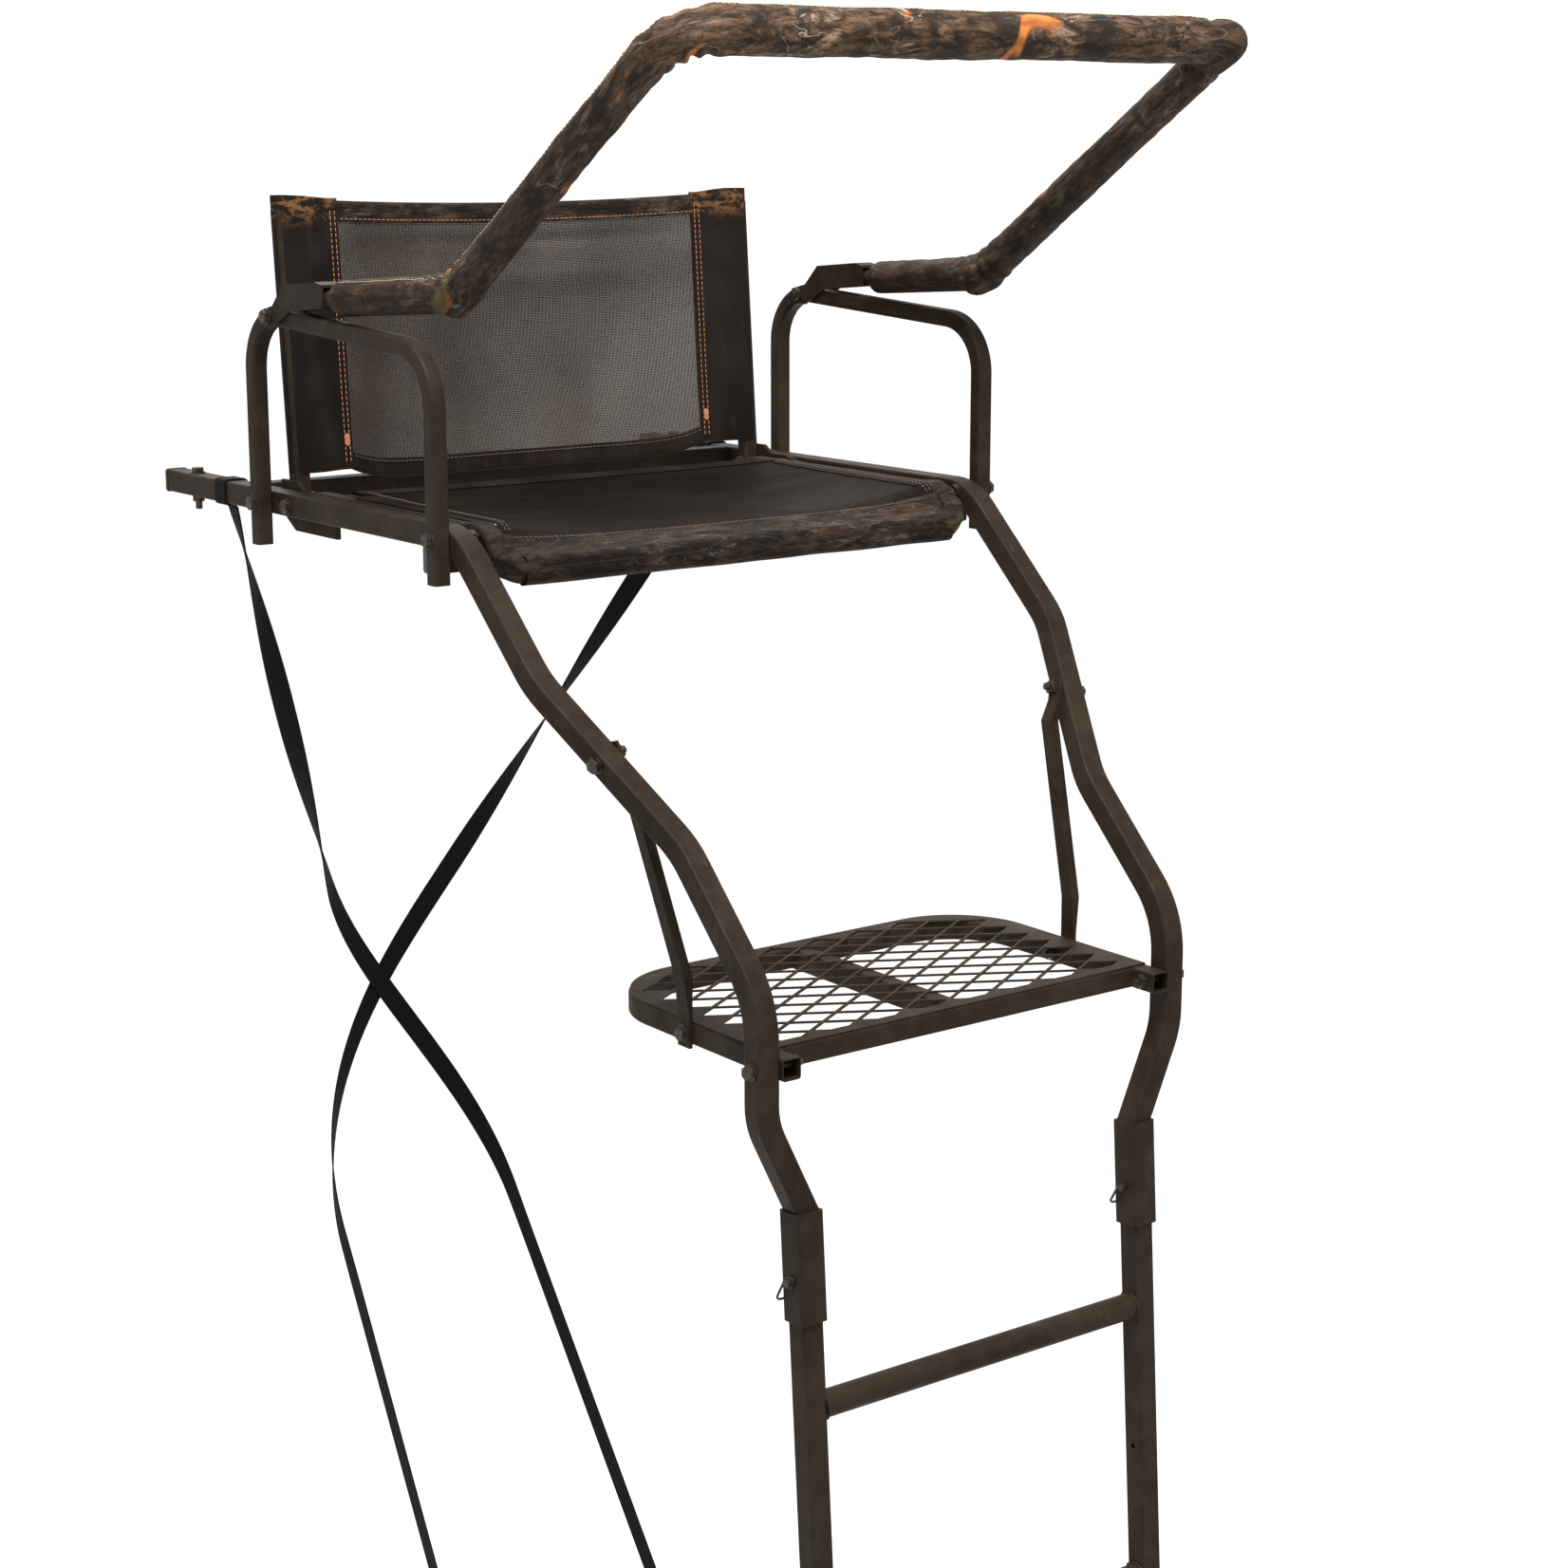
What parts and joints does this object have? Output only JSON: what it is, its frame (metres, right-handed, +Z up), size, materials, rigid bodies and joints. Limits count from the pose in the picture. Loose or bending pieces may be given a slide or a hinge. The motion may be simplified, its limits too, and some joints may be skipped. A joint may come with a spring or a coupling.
{
  "type": "ladder tree stand",
  "caption": "Ladder stand for a tree: sling seat and back, padded shooting rail that lifts, armrest hoops and a mesh foot platform on bent side rails over a pinned ladder.",
  "frame": {"origin": "the point where the front of the tree trunk meets the toothed tree brace, on the centre plane, level with the middle of the side rails", "axes": "+Z up; +Y from the sitter towards the tree, so the ladder is on the -Y side; +X to the sitter's left as they face away from the tree, across the seat"},
  "size_m": [0.757, 1.513, 4.814],
  "materials": {
    "frame_paint": "worn satin powder coat",
    "hardware": "dark zinc",
    "caps": "matt",
    "webbing": "woven",
    "sling_mesh": "open woven mesh",
    "camo_pad": "printed, brushed"
  },
  "bodies": {
    "stand": {"side_rail_right": "frame_paint", "side_rail_left": "frame_paint", "rear_cross_tube": "frame_paint", "tree_brace": "frame_paint", "armrest_right": "frame_paint", "armrest_left": "frame_paint", "back_post_right": "frame_paint", "back_post_left": "frame_paint", "seat_brackets": "frame_paint", "seat_rest_tube": "frame_paint", "platform_frame": "frame_paint", "platform_front_bar": "frame_paint", "platform_centre_bar": "frame_paint", "platform_mesh": "frame_paint", "platform_brace_right": "frame_paint", "platform_brace_left": "frame_paint", "foot_plate_right": "frame_paint", "foot_plate_left": "frame_paint", "ladder_leg_right_1": "frame_paint", "ladder_leg_right_2": "frame_paint", "ladder_leg_right_3": "frame_paint", "ladder_leg_left_1": "frame_paint", "ladder_leg_left_2": "frame_paint", "ladder_leg_left_3": "frame_paint", "ladder_rungs_1": "frame_paint", "ladder_rungs_2": "frame_paint", "ladder_rungs_3": "frame_paint", "sleeve_right_1": "frame_paint", "sleeve_right_2": "frame_paint", "sleeve_right_3": "frame_paint", "sleeve_left_1": "frame_paint", "sleeve_left_2": "frame_paint", "sleeve_left_3": "frame_paint", "armrest_bolts": "hardware", "armrest_nuts": "hardware", "tree_strap_bolts": "hardware", "seat_pivot_bolts": "hardware", "seat_spacers": "hardware", "platform_bolts": "hardware", "brace_bolts": "hardware", "hitch_pins": "hardware", "pin_bails": "hardware", "shooting_rail_pivots": "hardware", "rail_end_caps": "caps", "seat_rest_caps": "caps", "stabiliser_strap_left": "webbing", "stabiliser_strap_right": "webbing", "back_sling": "sling_mesh"},
    "seat": {"seat_frame": "frame_paint", "seat_rear_tube": "frame_paint", "seat_sling": "sling_mesh"},
    "shooting_rail": {"shooting_rail_tube": "frame_paint", "shooting_rail_pad": "camo_pad", "shooting_rail_bracket_right": "frame_paint", "shooting_rail_bracket_left": "frame_paint"}
  },
  "joints": [
    {"name": "seat_flip", "type": "hinge", "parent": "stand", "child": "seat", "pos_m": [0, -0.16, -0.0014], "axis": [-1, 0, 0], "range_deg": [0, 80]},
    {"name": "shooting_rail_flip", "type": "hinge", "parent": "stand", "child": "shooting_rail", "pos_m": [0, -0.172, 0.2065], "axis": [-1, 0, 0], "range_deg": [0, 78]}
  ]
}
